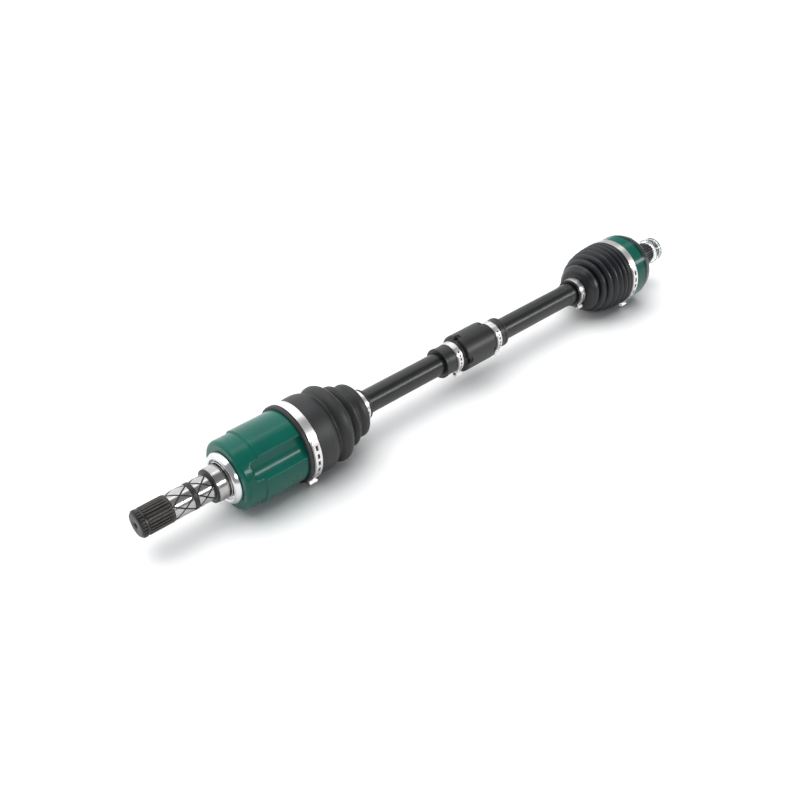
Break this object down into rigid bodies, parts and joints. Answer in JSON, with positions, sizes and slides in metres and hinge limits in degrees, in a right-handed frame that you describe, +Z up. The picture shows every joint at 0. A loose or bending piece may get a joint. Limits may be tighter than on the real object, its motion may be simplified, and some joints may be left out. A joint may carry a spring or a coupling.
{
  "type": "cv axle",
  "caption": "Front drive axle: a splined stub and plunging tripod joint, a shaft with a clamped rubber damper, and a ball-type fixed joint with a splined stub, both joints under rubber boots.",
  "frame": {"origin": "on the axle's axis, at the middle of the inboard seal journal", "axes": "+X along the axle from the gearbox end to the wheel end, +Z up as the axle lies at rest, +Y across"},
  "size_m": [0.7763, 0.0849, 0.0842],
  "materials": {
    "green_paint": "gloss enamel",
    "black_paint": "satin",
    "ground_steel": "ground",
    "black_phosphate": "phosphated",
    "zinc_plate": "bright zinc",
    "stainless_band": "rolled",
    "boot_rubber": "matte",
    "damper_rubber": "satin",
    "raw_steel": "machined",
    "spring_steel": "oiled",
    "bearing_steel": "polished",
    "clear_plastic": "translucent"
  },
  "bodies": {
    "inboard_joint": {"inboard_stub_shaft": "ground_steel", "inboard_housing": "green_paint", "inboard_dust_shield": "zinc_plate", "inboard_stub_circlip": "spring_steel", "plunge_stop_ring": "spring_steel", "inboard_large_clamp": "stainless_band", "inboard_boot": "boot_rubber"},
    "roller_1": {"roller_1": "bearing_steel"},
    "shaft": {"axle_shaft": "black_paint", "tripod_spider": "raw_steel", "spider_snap_ring": "spring_steel", "roller_needles_1": "bearing_steel", "roller_needles_2": "bearing_steel", "roller_needles_3": "bearing_steel", "roller_retainer_1": "spring_steel", "roller_retainer_2": "spring_steel", "roller_retainer_3": "spring_steel", "inboard_small_clamp": "stainless_band", "damper_rubber": "damper_rubber", "damper_mass": "raw_steel", "damper_clamp_left": "stainless_band", "damper_clamp_right": "stainless_band", "outboard_small_clamp": "stainless_band", "inner_race": "raw_steel", "inner_race_snap_ring": "spring_steel"},
    "roller_2": {"roller_2": "bearing_steel"},
    "roller_3": {"roller_3": "bearing_steel"},
    "outboard_joint": {"outer_race": "green_paint", "outboard_large_clamp": "stainless_band", "outboard_boot": "boot_rubber"},
    "cage": {"ball_cage": "raw_steel", "ball_1": "bearing_steel", "ball_2": "bearing_steel", "ball_3": "bearing_steel", "ball_4": "bearing_steel", "ball_5": "bearing_steel", "ball_6": "bearing_steel"},
    "transport_cap": {"outboard_stub_protector": "clear_plastic"}
  },
  "joints": [
    {"name": "inboard_plunge", "type": "slide", "parent": "inboard_joint", "child": "roller_1", "axis": [1, 0, 0], "range_m": [-0.01, 0.01], "deforming": ["inboard_boot"]},
    {"name": "inboard_tilt", "type": "hinge", "parent": "roller_1", "child": "shaft", "pos_m": [0.064, 0, 0], "axis": [0, 0, 1], "range_deg": [-18, 18]},
    {"name": "roller_2_spin", "type": "hinge", "parent": "shaft", "child": "roller_2", "pos_m": [0.064, 0, 0], "axis": [0, -0.866, -0.5], "range_deg": [-35, 35]},
    {"name": "roller_3_spin", "type": "hinge", "parent": "shaft", "child": "roller_3", "pos_m": [0.064, 0, 0], "axis": [0, 0.866, -0.5], "range_deg": [-35, 35]},
    {"name": "outboard_tilt", "type": "hinge", "parent": "shaft", "child": "outboard_joint", "pos_m": [0.599, 0, 0], "axis": [0, 0, 1], "range_deg": [-45, 45], "deforming": ["outboard_boot"]},
    {"name": "transport_cap_pull", "type": "slide", "parent": "outboard_joint", "child": "transport_cap", "axis": [1, 0, 0], "range_m": [0, 0.08]},
    {"name": "cage_tilt", "type": "hinge", "parent": "shaft", "child": "cage", "pos_m": [0.599, 0, 0], "axis": [0, 0, 1], "range_deg": [-22.5, 22.5]}
  ],
  "couplings": [
    {"joint": "roller_2_spin", "follows": "inboard_plunge", "rad_per_m": 58.824},
    {"joint": "roller_3_spin", "follows": "inboard_plunge", "rad_per_m": 58.824},
    {"joint": "cage_tilt", "follows": "outboard_tilt", "ratio": 0.5}
  ]
}
